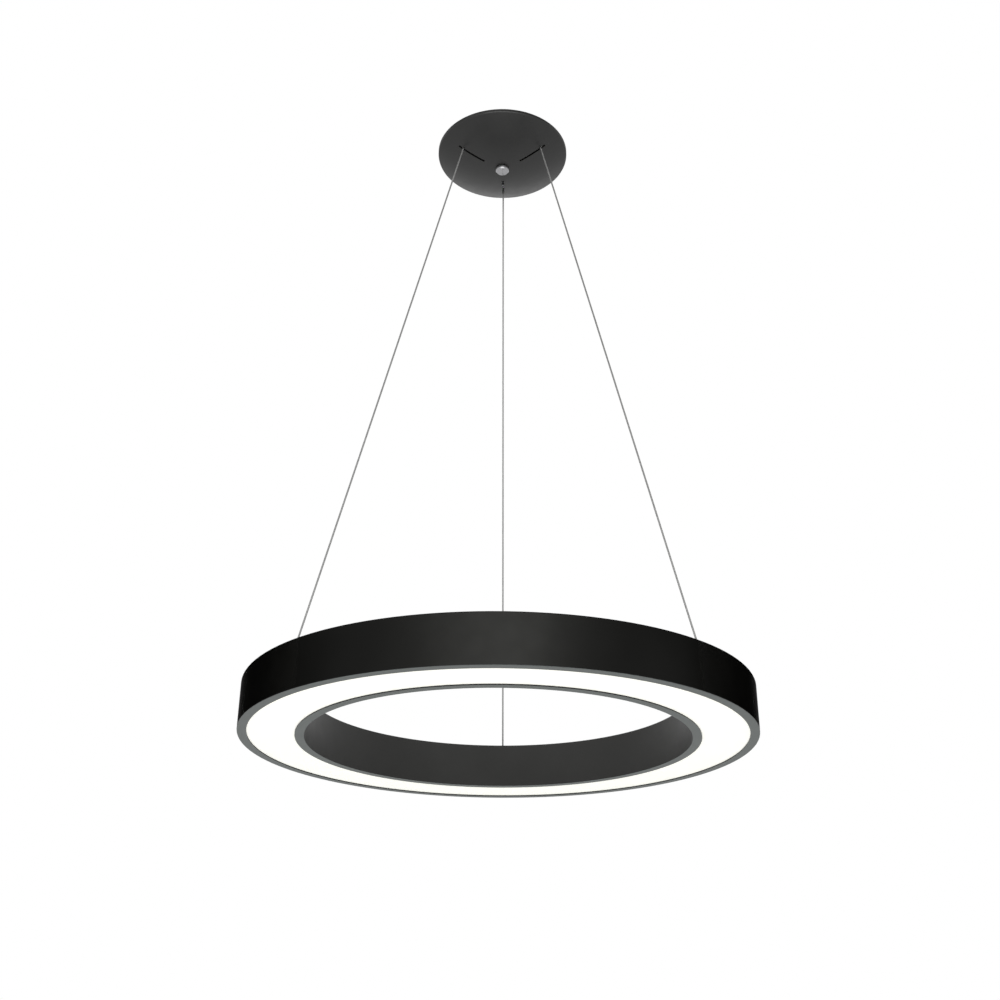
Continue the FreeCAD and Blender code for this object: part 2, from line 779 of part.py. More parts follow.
def make_gripper(index, angle):
    """One gripper: its bush, body, sprung plunger, spring and cable."""
    bush = turned("gripper_bush_%d" % index, [
        ("shank_radius + running_gap", "housing_inside_top"),
        ("sleeve_radius", "housing_inside_top"),
        ("sleeve_radius", "ring_height"),
        ("bush_flange_radius", "ring_height"),
        ("bush_flange_radius", "collar_bottom"),
        ("shank_radius + running_gap", "collar_bottom"),
    ])
    keep(bush, "gripper_bush_%d" % index, ring_spot(angle))
    body = turned("gripper_body_%d" % index, [
        ("cavity_radius", "shank_bottom"),
        ("shank_radius", "shank_bottom"),
        ("shank_radius", "collar_bottom"),
        ("collar_radius", "collar_bottom"),
        ("collar_radius", "collar_top - collar_chamfer"),
        ("collar_radius - collar_chamfer", "collar_top"),
        ("nose_radius + running_gap", "collar_top"),
        ("nose_radius + running_gap", "shoulder_level"),
        ("cavity_radius", "shoulder_level"),
    ])
    keep(body, "gripper_body_%d" % index, ring_spot(angle))
    plunger = turned("gripper_plunger_%d" % index, [
        ("nose_bore_radius", "shoulder_level - nose_flange_height - running_gap"),
        ("nose_flange_radius", "shoulder_level - nose_flange_height - running_gap"),
        ("nose_flange_radius", "shoulder_level - running_gap"),
        ("nose_radius", "shoulder_level - running_gap"),
        ("nose_radius", "nose_top - nose_tip_chamfer"),
        ("nose_radius - nose_tip_chamfer", "nose_top"),
        ("nose_mouth_radius", "nose_top"),
        ("nose_bore_radius", "nose_top - nose_mouth_depth"),
    ])
    keep(plunger, "gripper_plunger_%d" % index, ring_spot(angle))
    spring = turned("gripper_spring_%d" % index, [
        ("spring_radius - spring_wall", "shank_bottom + seat_thickness"),
        ("spring_radius", "shank_bottom + seat_thickness"),
        ("spring_radius", "shoulder_level - nose_flange_height - running_gap"),
        ("spring_radius - spring_wall", "shoulder_level - nose_flange_height - running_gap"),
    ])
    keep(spring, "gripper_spring_%d" % index, ring_spot(angle))


def make_gripper_groups():
    """The seats, washers and nuts under the ring's top, one of each to a gripper."""
    seats = []
    washers = []
    nuts = []
    corner_radius = size("gripper_nut_flats") / 2 / math.cos(math.radians(30))
    for angle in cable_angles():
        foot = polar(size("gripper_circle_radius"), angle, 0)
        seat = bar_at(size("cavity_radius") - size("running_gap"), size("seat_thickness"),
                      (foot.x, foot.y, size("shank_bottom")))
        bore = bar_at(size("nose_bore_radius"), size("seat_thickness"),
                      (foot.x, foot.y, size("shank_bottom")))
        seats.append(seat.cut(bore))
        around_shank = bar_at(size("shank_radius") + size("running_gap"), size("ring_height"),
                              (foot.x, foot.y, 0))
        washer = bar_at(size("bush_flange_radius"), size("washer_thickness"),
                        (foot.x, foot.y, size("washer_bottom")))
        washers.append(washer.cut(around_shank))
        corners = []
        for step in range(7):
            way = math.radians(angle + 60.0 * step)
            corners.append(Vector(foot.x + corner_radius * math.cos(way),
                                  foot.y + corner_radius * math.sin(way),
                                  size("gripper_nut_bottom")))
        hexagon = Part.Face(Part.makePolygon(corners))
        nut = hexagon.extrude(Vector(0, 0, size("gripper_nut_height")))
        nuts.append(nut.cut(around_shank))
    lowered = Placement(Vector(0, 0, -size("drop_height")), Rotation())
    keep(feature("gripper_seats", Part.makeCompound(seats)), "gripper_seats", lowered)
    keep(feature("gripper_washers", Part.makeCompound(washers)), "gripper_washers", lowered)
    keep(feature("gripper_nuts", Part.makeCompound(nuts)), "gripper_nuts", lowered)


def make_ring_leads():
    """A lead from each gripper to the board beside it, with its crimped lug."""
    leads = []
    reach = lead_drop_reach()
    low = size("lug_bottom")
    radius = size("lead_radius")
    start = size("lug_tab_reach") - 4 * radius
    level = low - radius + size("running_gap") * 4
    run = [Vector(0, start, level),
           Vector(0, reach, level),
           Vector(0, reach, size("board_bottom") - size("loose_gap"))]
    for index, angle in enumerate(cable_angles(), start=1):
        lug = bar_at(size("lug_radius"), size("lug_thickness"), (0, 0, low))
        tab = box_at((-size("lug_tab_width") / 2, 0, low),
                     (size("lug_tab_width") / 2, size("lug_tab_reach"), low + size("lug_thickness")))
        eye = bar_at(size("shank_radius") + size("running_gap"), size("lug_thickness"), (0, 0, low))
        wire = lead_along(run, radius, "ring lead %d" % index)
        lead = lug.fuse(tab).cut(eye).fuse(wire)
        lead.Placement = turned_to(angle, size("gripper_circle_radius"), 0)
        leads.append(lead)
    group = feature("ring_leads", Part.makeCompound(leads))
    keep(group, "ring_leads", Placement(Vector(0, 0, -size("drop_height")), Rotation()))


# Suspension cables

def tilted(angle, depth):
    """A placement on a cable's line at a depth, with its own Z up along the cable."""
    radius = size("cable_ceiling_radius") + size("cable_slope") * depth
    lean = Rotation(Vector(0, 1, 0), -size("cable_tilt"))
    turn = Rotation(Vector(0, 0, 1), angle)
    return Placement(polar(radius, angle, -depth), turn.multiply(lean))


def make_cable(index, angle):
    """One taut cable, straight from inside its ferrule to inside its gripper."""
    name = "suspension_cable_%d" % index
    cable = doc.addObject("Part::Cylinder", name)
    bind(cable, Radius="cable_radius", Height="cable_length")
    keep(cable, name, tilted(angle, size("cable_bottom_depth")))


# Canopy

def make_ceiling_plate():
    body = new_body("ceiling_plate")
    disc = new_sketch(body, "XY_Plane")
    add_circle(disc, "0", "0", "plate_radius")
    pad(body, disc, "plate_thickness", downwards=True)
    screws = new_sketch(body, "XY_Plane")
    add_circle(screws, "0", "- ceiling_screw_circle", "ceiling_screw_hole")
    cut_holes(body, screws, "plate_thickness", count="cable_count")
    rivets = new_sketch(body, "XY_Plane")
    add_circle(rivets, "0", "bracket_mid", "screw_radius")
    cut_holes(body, rivets, "plate_thickness", count="cable_count")
    others = new_sketch(body, "XY_Plane")
    add_circle(others, "entry_x", "entry_y", "entry_hole_radius")
    add_circle(others, "earth_x", "earth_y", "screw_radius")
    ear = "0.5*driver_length + 0.5*driver_ear_length"
    add_circle(others, ear, "driver_ear_y", "screw_radius")
    add_circle(others, "- 0.5*driver_length - 0.5*driver_ear_length", "driver_ear_y", "screw_radius")
    cut_holes(body, others, "plate_thickness")
    keep(body, "ceiling_plate")


def make_grommet():
    body = turned("entry_grommet", [
        ("grommet_bore_radius", "- plate_thickness - grommet_flange"),
        ("grommet_flange_radius", "- plate_thickness - grommet_flange"),
        ("grommet_flange_radius", "- plate_thickness"),
        ("entry_hole_radius - running_gap", "- plate_thickness"),
        ("entry_hole_radius - running_gap", "0"),
        ("grommet_bore_radius", "0"),
    ])
    body.setExpression("Placement.Base.x", formula("entry_x"))
    body.setExpression("Placement.Base.y", formula("entry_y"))
    keep(body, "entry_grommet")


def make_stud():
    body = turned("canopy_stud", [
        ("0", "- plate_thickness"),
        ("stud_flange_radius", "- plate_thickness"),
        ("stud_flange_radius", "- plate_thickness - stud_flange_height"),
        ("stud_radius", "- plate_thickness - stud_flange_height"),
        ("stud_radius", "- stud_depth"),
        ("0", "- stud_depth"),
    ])
    keep(body, "canopy_stud")


def make_cover():
    """The dished cover: a shallow dome with a low rim, a centre hole and three slots."""
    body = new_body("canopy_cover")
    sketch = new_sketch(body, "XZ_Plane")
    rise = size("dome_radius")
    centre_z = rise - size("cover_depth")
    inner_radius = rise - size("cover_sheet")
    hole = size("cover_hole_radius")
    outer_rim = size("cover_radius")
    inner_rim = outer_rim - size("cover_sheet")

    def on_dome(across, radius):
        return Vector(across, centre_z - math.sqrt(radius ** 2 - across ** 2), 0)

    def dome_arc(near, far, radius):
        middle = on_dome((near + far) / 2, radius)
        return Part.Arc(on_dome(near, radius), middle, on_dome(far, radius))

    rim_top = -size("ceiling_gap")
    outer_foot = on_dome(outer_rim, rise)
    inner_foot = on_dome(inner_rim, inner_radius)
    sketch.addGeometry(dome_arc(hole, outer_rim, rise), False)
    sketch.addGeometry(Part.LineSegment(outer_foot, Vector(outer_rim, rim_top, 0)), False)
    sketch.addGeometry(Part.LineSegment(Vector(outer_rim, rim_top, 0), Vector(inner_rim, rim_top, 0)), False)
    sketch.addGeometry(Part.LineSegment(Vector(inner_rim, rim_top, 0), inner_foot), False)
    sketch.addGeometry(dome_arc(hole, inner_rim, inner_radius), False)
    sketch.addGeometry(Part.LineSegment(on_dome(hole, inner_radius), on_dome(hole, rise)), False)
    for edge, end, other, other_end in ((0, 2, 1, 1), (1, 2, 2, 1), (2, 2, 3, 1),
                                        (3, 2, 4, 2), (4, 1, 5, 1), (5, 2, 0, 1)):
        sketch.addConstraint(Sketcher.Constraint("Coincident", edge, end, other, other_end))
    sketch.addConstraint(Sketcher.Constraint("Coincident", 0, 3, 4, 3))
    fix_point(sketch, 0, 3, "0", "dome_radius - cover_depth")
    fix_point(sketch, 1, 2, "cover_radius", "- ceiling_gap")
    fix_point(sketch, 1, 1, "cover_radius", None)
    fix_point(sketch, 2, 2, "cover_radius - cover_sheet", "- ceiling_gap")
    fix_point(sketch, 3, 2, "cover_radius - cover_sheet", None)
    fix_point(sketch, 5, 1, "cover_hole_radius", None)
    fix_point(sketch, 5, 2, "cover_hole_radius", None)
    for edge, words in ((0, "dome_radius"), (4, "dome_radius - cover_sheet")):
        index = sketch.addConstraint(Sketcher.Constraint("Radius", edge, amount(words)))
        sketch.setExpression("Constraints[%d]" % index, formula(words))
    turn = body.newObject("PartDesign::Revolution", "canopy_cover_turn")
    turn.Profile = sketch
    turn.ReferenceAxis = (sketch, ["V_Axis"])
    turn.Angle = 360
    doc.recompute()
    round_edges(body, "cover_rim_round", [("cover_radius", "- cover_rim_height")])
    slot = new_sketch(body, "XY_Plane")
    half = "0.5*slot_width"
    add_outline(slot, [
        (half, "slot_inner_end"),
        (half, "slot_outer_end"),
        ("- " + half, "slot_outer_end"),
        ("- " + half, "slot_inner_end"),
    ])
    cut_holes(body, slot, "cover_depth + cover_sheet", count="cable_count")
    keep(body, "canopy_cover")


def make_canopy_washer():
    body = turned("canopy_washer", [
        ("cover_hole_radius", "- washer_depth"),
        ("canopy_washer_radius", "- washer_depth"),
        ("canopy_washer_radius", "- cover_depth"),
        ("cover_hole_radius", "- cover_depth"),
    ])
    keep(body, "canopy_washer")


def make_canopy_nut():
    """The knurled nut: a head below the cover and a threaded neck inside it."""
    body = turned("canopy_nut", [
        ("0", "- washer_depth - nut_height - nut_dome"),
        ("nut_radius - nut_chamfer", "- washer_depth - nut_height"),
        ("nut_radius", "- washer_depth - nut_height + nut_chamfer"),
        ("nut_radius", "- washer_depth"),
        ("nut_neck_radius", "- washer_depth"),
        ("nut_neck_radius", "- washer_depth + nut_neck_length"),
        ("stud_radius + running_gap", "- washer_depth + nut_neck_length"),
        ("stud_radius + running_gap", "- washer_depth - nut_height + nut_end_wall"),
        ("0", "- washer_depth - nut_height + nut_end_wall"),
    ])
    flute = new_sketch(body, "XY_Plane", "- washer_depth")
    add_outline(flute, [
        ("nut_radius - knurl_depth", "0"),
        ("nut_radius + knurl_depth", "- 2*knurl_depth"),
        ("nut_radius + knurl_depth", "2*knurl_depth"),
    ])
    cut_holes(body, flute, "nut_height - nut_chamfer", count="knurl_count")
    keep(body, "canopy_nut")


def make_bracket(index, angle):
    """A bent bracket that carries one cable, its bush and its end ferrule."""
    name = "cable_bracket_%d" % index
    body = new_body(name)
    side = new_sketch(body, "XZ_Plane")
    add_outline(side, [
        ("bracket_inner_end", "- plate_thickness"),
        ("bracket_web_radius", "- plate_thickness"),
        ("bracket_web_radius", "- shelf_depth"),
        ("bracket_outer_end", "- shelf_depth"),
        ("bracket_outer_end", "- shelf_bottom_depth"),
        ("bracket_web_radius - bracket_sheet", "- shelf_bottom_depth"),
        ("bracket_web_radius - bracket_sheet", "- plate_thickness - bracket_sheet"),
        ("bracket_inner_end", "- plate_thickness - bracket_sheet"),
    ])
    pad_feature = pad(body, side, "bracket_width")
    pad_feature.SideType = "Symmetric"
    doc.recompute()
    fixing = new_sketch(body, "XY_Plane")
    add_circle(fixing, "bracket_mid", "0", "screw_radius + screw_clearance")
    cut_holes(body, fixing, "plate_thickness + bracket_sheet")
    opening = new_sketch(body, "XY_Plane", "- shelf_depth")
    add_circle(opening, "anchor_radius", "0", "anchor_sleeve_radius + running_gap")
    cut_holes(body, opening, "bracket_sheet")
    keep(body, name, around(angle))
    bush_name = "anchor_bush_%d" % index
    bush = turned(bush_name, [
        ("anchor_bore_radius", "- shelf_bottom_depth - anchor_clip"),
        ("anchor_flange_radius - anchor_clip", "- shelf_bottom_depth - anchor_clip"),
        ("anchor_flange_radius - anchor_clip", "- shelf_bottom_depth"),
        ("anchor_sleeve_radius", "- shelf_bottom_depth"),
        ("anchor_sleeve_radius", "- shelf_depth"),
        ("anchor_flange_radius", "- shelf_depth"),
        ("anchor_flange_radius", "- shelf_depth + anchor_flange"),
        ("anchor_bore_radius", "- shelf_depth + anchor_flange"),
    ])
    keep(bush, bush_name, turned_to(angle, size("anchor_radius"), 0))
    ferrule_name = "cable_ferrule_%d" % index
    ferrule = turned(ferrule_name, [
        ("cable_radius + running_gap", "0"),
        ("ferrule_radius", "0"),
        ("ferrule_radius", "ferrule_length"),
        ("0", "ferrule_length"),
        ("0", "ferrule_bore_depth"),
        ("cable_radius + running_gap", "ferrule_bore_depth"),
    ])
    keep(ferrule, ferrule_name, tilted(angle, size("ferrule_base_depth")))


def driver_ear_spots():
    """Where the driver's two ears are screwed to the plate."""
    reach = size("driver_length") / 2 + size("driver_ear_length") / 2
    return [Vector(side * reach, size("driver_ear_y"), 0) for side in (-1, 1)]


def driver_wall_y():
    """The driver's long side that faces the stud."""
    return size("driver_y") + size("driver_width") / 2


def make_driver():
    """The light driver: a case, its lid with two ears, and its circuit board."""
    half_x = size("driver_length") / 2
    half_y = size("driver_width") / 2
    middle_y = size("driver_y")
    top = -size("driver_case_top")
    bottom = -size("driver_bottom")
    wall = size("driver_wall")
    outside = box_at((-half_x, middle_y - half_y, bottom), (half_x, middle_y + half_y, top))
    inside = box_at((-half_x + wall, middle_y - half_y + wall, bottom + wall),
                    (half_x - wall, middle_y + half_y - wall, top))
    holes = [inside]
    for x in driver_side_lead_xs():
        hole = Part.makeCylinder(size("lead_hole_radius"), 2 * wall,
                                 Vector(x, driver_wall_y() + wall / 2, -size("lead_depth")),
                                 Vector(0, -1, 0))
        holes.append(hole)
    end_y = driver_end_lead_y()
    holes.append(Part.makeCylinder(size("lead_hole_radius"), 2 * half_x + wall,
                                   Vector(-half_x - wall / 2, end_y, -size("lead_depth")),
                                   Vector(1, 0, 0)))
    keep(feature("driver_case", outside.cut(holes)), "driver_case")
    lid = box_at((-half_x, middle_y - half_y, top), (half_x, middle_y + half_y, -size("plate_thickness")))
    ear_half = size("driver_ear_width") / 2
    ears = []
    ear_holes = []
    for spot in driver_ear_spots():
        side = 1 if spot.x > 0 else -1
        low_x = min(side * half_x, side * (half_x + size("driver_ear_length")))
        ears.append(box_at((low_x, spot.y - ear_half, top),
                           (low_x + size("driver_ear_length"), spot.y + ear_half,
                            -size("plate_thickness"))))
        ear_holes.append(bar_at(size("screw_radius") + size("screw_clearance"), size("driver_lid"),
                                (spot.x, spot.y, top)))
    keep(feature("driver_lid", lid.fuse(ears).removeSplitter().cut(ear_holes)), "driver_lid")
    make_driver_board(half_x, half_y, middle_y, bottom + wall)


def driver_side_lead_xs():
    """The two mains leads and the middle output lead enter the long side here."""
    return [size("live_lead_x"), size("neutral_lead_x"), size("output_lead_x")]


def driver_end_lead_y():
    """The outer output leads leave the ends of the case here."""
    return size("driver_y") - size("driver_width") / 4


def make_driver_board(half_x, half_y, middle_y, floor):
    """The circuit board, its transformer, capacitors and two terminal headers."""
    gap = size("driver_board_gap")
    wall = size("driver_wall")
    reach_x = half_x - wall - gap
    reach_y = half_y - wall - gap
    top = floor + size("driver_board_thickness")
    plate = box_at((-reach_x, middle_y - reach_y, floor), (reach_x, middle_y + reach_y, top))
    header_depth = size("header_depth")
    header_half = size("header_half_length")
    header_top = -size("lead_depth") + 2 * size("lead_radius")
    xs = driver_side_lead_xs()
    pieces = [box_at((min(xs) - header_half, middle_y + reach_y - header_depth, top),
                     (max(xs) + header_half, middle_y + reach_y, header_top))]
    end_y = driver_end_lead_y()
    for low_x in (-reach_x, reach_x - header_depth):
        pieces.append(box_at((low_x, end_y - header_half, top),
                             (low_x + header_depth, end_y + header_half, header_top)))
    coil_x = size("transformer_x")
    coil_half_x = size("transformer_length") / 2
    coil_half_y = size("transformer_width") / 2
    pieces.append(box_at((coil_x - coil_half_x, middle_y - coil_half_y, top),
                         (coil_x + coil_half_x, middle_y + coil_half_y, top + size("transformer_height"))))
    radius = size("capacitor_radius")
    level = top + radius - size("solder_depth")
    for low_x, side in ((size("left_capacitor_x"), 1), (size("right_capacitor_x"), -1)):
        foot = Vector(low_x, middle_y + side * size("capacitor_offset"), level)
        pieces.append(Part.makeCylinder(radius, size("capacitor_length"), foot, Vector(1, 0, 0)))
    board = plate.fuse(pieces).removeSplitter()
    keep(feature("driver_board", board), "driver_board")


def block_way_xs():
    """The middles of the terminal block's ways."""
    ways = int(size("block_ways"))
    return [size("block_x") + (index - (ways - 1) / 2) * size("block_pitch") for index in range(ways)]


def make_terminal_block():
    half_x = size("block_length") / 2
    half_y = size("block_width") / 2
    top = -size("plate_thickness")
    bottom = top - size("block_height")
    middle_x = size("block_x")
    middle_y = size("block_y")
    body = box_at((middle_x - half_x, middle_y - half_y, bottom), (middle_x + half_x, middle_y + half_y, top))
    cuts = []
    for x in block_way_xs():
        for side in (-1, 1):
            mouth = Vector(x, middle_y + side * half_y, -size("lead_depth"))
            cuts.append(Part.makeCylinder(size("block_bore_radius"), size("block_bore_depth"),
                                          mouth, Vector(0, -side, 0)))
            cuts.append(bar_at(size("block_screw_radius") + size("fitting_gap"),
                               2 * size("block_screw_height"),
                               (x, middle_y + side * half_y / 2, bottom)))
    keep(feature("terminal_block", body.cut(cuts)), "terminal_block")
    screws = []
    level = bottom + size("block_screw_height")
    for x in block_way_xs():
        for side in (-1, 1):
            spot = (x, middle_y + side * half_y / 2, level)
            head = bar_at(size("block_screw_radius"), size("block_screw_height"), spot)
            half_slit = size("block_slit_width") / 2
            slit = box_at((x - 2 * size("block_screw_radius"), spot[1] - half_slit, level),
                          (x + 2 * size("block_screw_radius"), spot[1] + half_slit,
                           level + size("block_slit_depth")))
            screws.append(head.cut(slit))
    keep(feature("terminal_screws", Part.makeCompound(screws)), "terminal_screws")


def make_plate_screws():
    """The screws that hold the brackets and the driver, and the earth screw."""
    gap = size("running_gap")
    radius = size("screw_radius") - gap
    head = size("screw_head_radius")
    height = size("screw_head_height")
    screws = []
    under_bracket = -size("plate_thickness") - size("bracket_sheet")
    for angle in cable_angles():
        spot = polar(size("bracket_mid"), angle, under_bracket)
        length = size("bracket_sheet") + size("plate_thickness") - gap
        screws.append(screw_up(spot, radius, head, height, length))
    for spot in driver_ear_spots():
        under_ear = Vector(spot.x, spot.y, -size("driver_case_top"))
        length = size("driver_lid") + size("plate_thickness") - gap
        screws.append(screw_up(under_ear, radius, head, height, length))
    keep(feature("plate_screws", Part.makeCompound(screws)), "plate_screws")
    under_lug = -size("plate_thickness") - size("lug_thickness")
    spot = Vector(size("earth_x"), size("earth_y"), under_lug)
    length = size("lug_thickness") + size("plate_thickness") - gap
    keep(feature("earth_screw", screw_up(spot, radius, head, height, length)), "earth_screw")


def make_canopy_leads():
    """The mains, earth and output leads inside the canopy."""
    radius = size("lead_radius")
    depth = size("lead_depth")
    block_face = size("block_y") - size("block_width") / 2
    start_y = block_face + size("block_bore_depth") / 2
    wall_y = driver_wall_y()
    header_y = wall_y - size("driver_wall") - size("driver_board_gap")
    live_x, neutral_x, output_x = driver_side_lead_xs()
    mains = []
    for way_x, case_x in zip(block_way_xs()[:2], (live_x, neutral_x)):
        route = [Vector(way_x, start_y, -depth),
                 Vector(way_x, block_face - 10, -depth),
                 Vector(case_x, wall_y + 10, -depth),
                 Vector(case_x, header_y, -depth)]
        mains.append(lead_along(route, radius, "mains lead"))
    keep(feature("mains_leads", Part.makeCompound(mains)), "mains_leads")

    earth_x = size("earth_x")
    earth_y = size("earth_y")
    lug_top = -size("plate_thickness")
    lug_low = lug_top - size("lug_thickness")
    lug_level = lug_low - radius + 4 * size("running_gap")
    route = [Vector(block_way_xs()[2], start_y, -depth),
             Vector(block_way_xs()[2], block_face - 3, -depth),
             Vector(earth_x - 1, earth_y + 12, -depth + 2),
             Vector(earth_x, earth_y + 7, lug_level),
             Vector(earth_x, earth_y + 4, lug_level)]
    wire = lead_along(route, radius, "earth lead")
    lug = bar_at(size("earth_lug_radius"), size("lug_thickness"), (earth_x, earth_y, lug_low))
    tab = box_at((earth_x - radius * 1.5, earth_y, lug_low),
                 (earth_x + radius * 1.5, earth_y + size("earth_tab_reach"), lug_top))
    eye = bar_at(size("screw_radius") + size("screw_clearance"), size("lug_thickness"),
                 (earth_x, earth_y, lug_low))
    keep(feature("earth_lead", lug.fuse(tab).cut(eye).fuse(wire)), "earth_lead")

    outputs = []
    ferrule_depth = size("ferrule_base_depth") - size("ferrule_length") / 2
    ferrule_radius = size("cable_ceiling_radius") + size("cable_slope") * ferrule_depth
    touch = size("ferrule_radius") - size("solder_reach")
    outputs.append(lead_along([
        Vector(output_x, header_y, -depth),
        Vector(output_x, wall_y + 14, -depth),
        Vector(output_x + 2, 14, -depth),
        Vector(output_x + 2.5, ferrule_radius - 20, -depth),
        Vector(output_x + 2, ferrule_radius - 8, -depth),
        Vector(output_x - 1, ferrule_radius, -ferrule_depth),
        Vector(touch, ferrule_radius, -ferrule_depth)], radius, "output lead 1"))
    half_x = size("driver_length") / 2
    header_x = half_x - size("driver_wall") - size("driver_board_gap")
    end_y = driver_end_lead_y()
    for side, angle in zip((-1, 1), cable_angles()[1:]):
        ferrule = polar(ferrule_radius, angle, -ferrule_depth)
        sideways = polar(1.0, angle - side * 90.0, 0)
        outputs.append(lead_along([
            Vector(side * header_x, end_y, -depth),
            Vector(side * (half_x + 5), end_y, -depth),
            ferrule + sideways * 14,
            ferrule + sideways * touch], radius, "output lead"))
    keep(feature("output_leads", Part.makeCompound(outputs)), "output_leads")


def build_lamp():
    make_ceiling_plate()
    make_grommet()
    make_stud()
    make_cover()
    make_canopy_washer()
    make_canopy_nut()
    make_driver()
    make_terminal_block()
    make_plate_screws()
    make_canopy_leads()
    make_ring_housing()
    make_bezels()
    make_gaskets()
    make_diffuser()
    make_tray()
    make_boards()
    make_chips()
    make_jumpers()
    make_ring_screws()
    for index, angle in enumerate(cable_angles(), start=1):
        make_bracket(index, angle)
        make_gripper(index, angle)
        make_cable(index, angle)
    make_gripper_groups()
    make_ring_leads()


def check_and_write():
    """Checks every object, then writes each sub-part to its own file."""
    doc.recompute()
    for thing in doc.Objects:
        if "Invalid" in thing.State or "Error" in thing.State:
            raise ValueError("failed object: " + thing.Name)
    for thing in SUB_PARTS:
        if thing.Shape.isNull() or not thing.Shape.isValid():
            raise ValueError("bad shape: " + thing.Label)
    for thing in SUB_PARTS:
        thing.Shape.exportStep("parts/%s.step" % thing.Label)
    print("%d sub-parts written" % len(SUB_PARTS))


build_lamp()
check_and_write()
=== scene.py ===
"""A ring pendant light: its materials, its cables and springs, and a plain white studio around it."""
import json
import math

import bpy
from mathutils import Matrix, Vector


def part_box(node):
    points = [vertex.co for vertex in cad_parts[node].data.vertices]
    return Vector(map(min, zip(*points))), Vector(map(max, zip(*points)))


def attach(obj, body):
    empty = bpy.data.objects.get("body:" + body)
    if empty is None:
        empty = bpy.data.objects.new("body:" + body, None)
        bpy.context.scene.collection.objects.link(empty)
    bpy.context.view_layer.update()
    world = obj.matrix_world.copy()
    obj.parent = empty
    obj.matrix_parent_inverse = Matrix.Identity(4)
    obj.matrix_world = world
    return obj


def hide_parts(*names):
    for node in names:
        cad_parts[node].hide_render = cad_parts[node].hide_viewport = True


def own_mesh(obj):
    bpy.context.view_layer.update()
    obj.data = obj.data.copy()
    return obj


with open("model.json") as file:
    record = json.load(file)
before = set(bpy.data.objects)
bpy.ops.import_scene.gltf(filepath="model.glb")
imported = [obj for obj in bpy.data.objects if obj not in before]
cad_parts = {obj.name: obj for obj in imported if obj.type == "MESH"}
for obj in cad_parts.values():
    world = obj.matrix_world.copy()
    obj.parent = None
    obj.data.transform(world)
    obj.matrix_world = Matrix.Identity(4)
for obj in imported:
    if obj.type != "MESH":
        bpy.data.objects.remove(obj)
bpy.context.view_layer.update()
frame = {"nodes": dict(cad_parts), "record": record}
nodes = frame["nodes"]

# The cables, in metres. The route is the first cable's, and the others are turned round the Z axis
CABLE_ROUTE = [(0, 0.061137, -0.004638), (0, 0.063279, -0.013380),
               (0, 0.257725, -0.806759), (0, 0.259868, -0.815500)]
CABLE_COUNT = 3
CABLE_DIAMETER = 0.0022
CABLE_LAY = 0.013
CABLE_STRANDS = 6
CABLE_SIDES = 12
STRAND_DEPTH = 0.08
ROUTE_STEPS = 1024

# The springs of the grippers, in metres
SPRING_WIRE = 0.0005
SPRING_TURNS = 5.5
SPRING_STEPS = 28
SPRING_RINGS = int(SPRING_TURNS * SPRING_STEPS) + 1
WIRE_SIDES = 8

# Where the ring's outer wall takes its own finish, as a distance from the Z axis
OUTER_WALL_START = 0.2978
OUTER_WALL_END = 0.2994

# Shading. A noise's scale is about one over the size of its features
NOISE_LOW = 0.3
NOISE_HIGH = 0.7
NOISE_DETAIL = 3.0
SOFT_DETAIL = 2.0
TONE_SCALE = 9.0
SHEEN_SCALE = 60.0
COAT_GRAIN = 1400.0
EDGE_TINT = (0.02, 0.02, 0.02, 1.0)
WHITE = (1, 1, 1, 1)
MIX_SOCKETS = {"FLOAT": (2, 3, 0), "RGBA": (6, 7, 2)}

# The camera, fitted to the edges of the ring, the cables and the canopy
CAMERA_DISTANCE = 1.4326
CAMERA_LEVEL = -1.2365
CAMERA_BEARING = math.radians(1.38)
CAMERA_PITCH = 0.4408
CAMERA_ROLL = 0.0071
CAMERA_LENS = 44.76
SENSOR_WIDTH = 36.0

# The lamps: name, place, target, width, height and power
LAMPS = [("key", (0.0, -2.6, -0.15), (0, 0, -0.7), 2.4, 1.6, 50.0),
         ("under_fill", (0.0, -1.0, -2.2), (0, 0, -0.6), 1.6, 1.6, 9.0),
         ("top_fill", (-0.6, -0.8, 2.2), (0, 0, -0.6), 2.0, 2.0, 7.0)]

# The world: its light, and how it darkens towards the zenith in reflections
WORLD_LIGHT = 0.42
SKY_FADE_START = 0.45
SKY_FADE_END = 0.62
SKY_LOW_LIGHT = 1.0
SKY_HIGH_LIGHT = 0.3

# The floor, in metres, and the light that it adds in reflections and, near and far, for the camera
FLOOR_LEVEL = -2.5
FLOOR_HALF = 12.0
FLOOR_MIRRORED_LIGHT = 0.45
FLOOR_NEAR_LIGHT = 0.32
FLOOR_FAR_LIGHT = 0.62
FLOOR_FADE_START = 1.0
FLOOR_FADE_END = 9.0
FLOOR_TONE_SCALE = 0.8


# Colours and shader nodes

def linear(red, green, blue):
    """A screen colour from 0 to 255 as the linear one that a shader takes."""
    shares = [value / 255 for value in (red, green, blue)]
    return tuple(s / 12.92 if s <= 0.04045 else ((s + 0.055) / 1.055) ** 2.4 for s in shares) + (1.0,)


